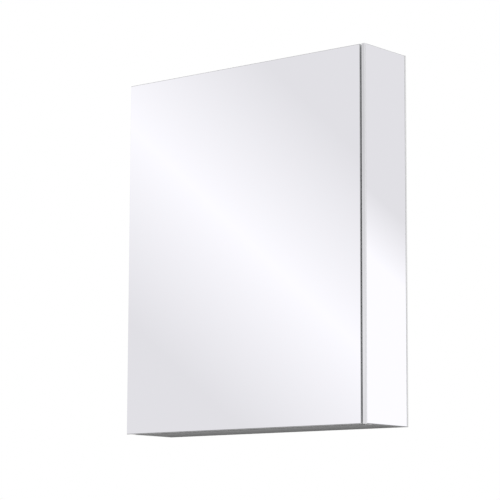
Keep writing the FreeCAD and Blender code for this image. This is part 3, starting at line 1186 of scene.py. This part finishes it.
@dataclass
class Floor:
    """Round pale floor far under the cabinet, which fades into the surroundings at its rim."""

    level: float = -4.3
    radius: float = 14.0
    sides: int = 96
    fade_from: float = 0.45
    fade_to: float = 0.95
    tone: Colour = (0.82, 0.82, 0.82)
    roughness: float = 0.7
    gloss: float = 0.2

    def paint(self) -> bpy.types.Material:
        """Pale paint that is clear towards the rim.

        Returns:
            The material.
        """
        made = bpy.data.materials.new("floor_paint")
        made.use_nodes = True
        graph = Graph(made.node_tree)
        shader = graph.tree.nodes["Principled BSDF"]
        sockets = {
            "Base Color": self.tone,
            "Roughness": self.roughness,
            "Specular IOR Level": self.gloss,
        }
        graph.feed(shader, sockets)
        settings = {"operation": "LENGTH"}
        away = graph.node("ShaderNodeVectorMath", settings, {0: graph.place()}, "Value")
        fade = graph.step(away, self.fade_from * self.radius, self.fade_to * self.radius)
        gone = graph.node("ShaderNodeBsdfTransparent")
        body = Wire(graph, shader.outputs[0])
        mixed = graph.node("ShaderNodeMixShader", inputs={0: fade, 1: body, 2: gone})
        graph.feed(graph.tree.nodes["Material Output"], {"Surface": mixed})
        return made

    def build(self) -> None:
        """Lay the floor, a disc: the point (r, a) lies at r cos(a), r sin(a)."""
        angle = np.linspace(0.0, 2 * np.pi, self.sides, endpoint=False)
        level = np.full(self.sides, self.level)
        rim = np.stack([self.radius * np.cos(angle), self.radius * np.sin(angle), level], -1)
        mesh = bpy.data.meshes.new("pale_floor")
        mesh.from_pydata(rim.tolist(), [], [list(range(self.sides))])
        mesh.materials.append(self.paint())
        piece = bpy.data.objects.new("pale_floor", mesh)
        bpy.context.scene.collection.objects.link(piece)


@dataclass
class Camera:
    """Camera at the photograph's viewing angle.

    Angles are in degrees, and the focal length is in the photograph's pixels.
    """

    azimuth: float = 39.33
    rise: float = 8.36
    roll: float = 0.24
    focal_pixels: float = 2094.0
    photo_pixels: float = 500.0
    place: Point = (2.584, -3.263, -0.606)
    sensor: float = 36.0
    farthest: float = 100.0

    def axes(self) -> Matrix:
        """Directions of the camera: turned about Z, lifted, then rolled.

        Returns:
            The right, up and backward directions, as columns.
        """
        turn = Matrix.Rotation(math.radians(self.azimuth), 3, "Z")
        lift = Matrix.Rotation(math.radians(90.0 + self.rise), 3, "X")
        return turn @ lift @ Matrix.Rotation(math.radians(self.roll), 3, "Z")

    def build(self) -> None:
        """Set up the camera."""
        data = bpy.data.cameras.new("camera")
        data.sensor_width = self.sensor
        data.lens = self.sensor * self.focal_pixels / self.photo_pixels
        data.clip_end = self.farthest
        camera = bpy.data.objects.new("camera", data)
        bpy.context.scene.collection.objects.link(camera)
        camera.matrix_world = Matrix.Translation(self.place) @ self.axes().to_4x4()
        bpy.context.scene.camera = camera


@dataclass
class Bands:
    """Soft bands of light that wind round the studio for mirrors to show, with angles in radians."""

    count: int = 20
    half_width: float = 0.098
    lean: float = 1.06
    lead: float = 0.0036
    pale: float = 1.062
    grey: float = 0.814
    rear_gain: float = 2.93
    rear_floor: float = 0.40
    rear_blur: float = 0.25

    def crest(self, camera: Camera) -> float:
        """Winding of the crest that the door shows, a little ahead of the camera's axis.

        Args:
            camera: Camera whose axis the door mirrors.

        Returns:
            The turn of the mirrored axis, with its rise times the lean and the lead added.
        """
        ahead = -camera.axes().col[2]
        turn, rise = math.atan2(-ahead.y, ahead.x), math.asin(ahead.z)
        return turn + self.lean * rise + self.lead

    def tone(self, x: Wire, y: Wire, z: Wire, crest: float) -> Wire:
        """Tone that a mirror sees in a direction.

        The winding is the turn of the direction with its rise times the lean added. Each band's tone
        falls evenly from its crest to grey on both sides. Behind the cabinet the bands are stronger
        and flat at the top.

        Args:
            x: The direction's part along X.
            y: Its part along Y.
            z: Its part along Z.
            crest: Winding of one of the crests.

        Returns:
            The tone.
        """
        pitch = 2 * math.pi / self.count
        turn, rise = y.math("ARCTAN2", x), z.math("ARCSINE")
        winding = (turn + rise * self.lean - crest) / pitch
        offset = abs((winding + 0.5).math("FRACT") - 0.5) * pitch
        tent = (1 - offset / self.half_width).math("MAXIMUM", 0.0)
        rear = y.graph.step(y, -self.rear_blur, self.rear_blur)
        strong = tent * (1 + rear * (self.rear_gain - 1)) - rear * self.rear_floor
        band = strong.math("MAXIMUM", 0.0).math("MINIMUM", 1.0)
        return self.grey + band * (self.pale - self.grey)


@dataclass
class Sky:
    """Plain sky, paler above than below, that lights all but the mirrors."""

    low: float = 0.45
    high: float = 0.85
    low_until: float = -0.6
    high_from: float = 0.8

    def tone(self, z: Wire) -> Wire:
        """Tone of the sky in a direction whose part along Z is z."""
        return self.low + z.graph.step(z, self.low_until, self.high_from) * (self.high - self.low)


@dataclass
class Studio:
    """Camera, floor, lamps and the pale surroundings that the mirrors show."""

    camera: Camera = field(default_factory=Camera)
    floor: Floor = field(default_factory=Floor)
    bands: Bands = field(default_factory=Bands)
    sky: Sky = field(default_factory=Sky)
    lamps: list[Lamp] = field(
        default_factory=lambda: [
            Lamp("key_lamp", place=(0.5, -4.2, 2.6), size=3.0, power=95.0),
            Lamp("rear_lamp", place=(2.4, 3.2, 2.6), size=3.0, power=70.0),
        ]
    )

    def surroundings(self) -> None:
        """Light the world.

        The camera and clear glass see white, and a mirror sees the bands. The sky lights the rest.
        """
        world = bpy.data.worlds.new("studio")
        bpy.context.scene.world = world
        world.use_nodes = True
        graph = Graph(world.node_tree)
        ray = graph.node("ShaderNodeTexCoord", output="Generated")
        x, y, z = (
            graph.node("ShaderNodeSeparateXYZ", inputs={0: ray}, output=axis.value) for axis in Axis
        )
        sky = self.sky.tone(z)
        bands = self.bands.tone(x, y, z, self.bands.crest(self.camera))
        paths = ("Is Camera Ray", "Is Glossy Ray", "Is Transmission Ray")
        seen, glossy, through = (graph.node("ShaderNodeLightPath", output=path) for path in paths)
        lit = sky + glossy * (bands - sky)
        strength = lit + seen.math("MAXIMUM", through) * (1 - lit)
        graph.feed(graph.tree.nodes["Background"], {"Color": (1.0, 1.0, 1.0), "Strength": strength})

    def build(self) -> None:
        """Set up camera, surroundings, floor and lamps."""
        bpy.context.scene.view_settings.view_transform = "Standard"
        self.camera.build()
        self.surroundings()
        self.floor.build()
        for lamp in self.lamps:
            lamp.build()
        LOG.info("studio: camera, surroundings, floor and %d lamps", len(self.lamps))


def main() -> None:
    """Dress the cabinet, add the modelled pieces and set up the studio."""
    logging.basicConfig(level=logging.INFO, format="%(message)s")
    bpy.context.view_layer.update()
    Studio().build()
    Carcass().dress()
    SideMirrors().dress()
    FullHeightHinge().dress()
    GlassShelves().build()
    latch = PushLatch()
    latch.build()
    latch.dress()
    door = MirrorDoor()
    door.build()
    door.dress()


if __name__ == "__main__":
    main()
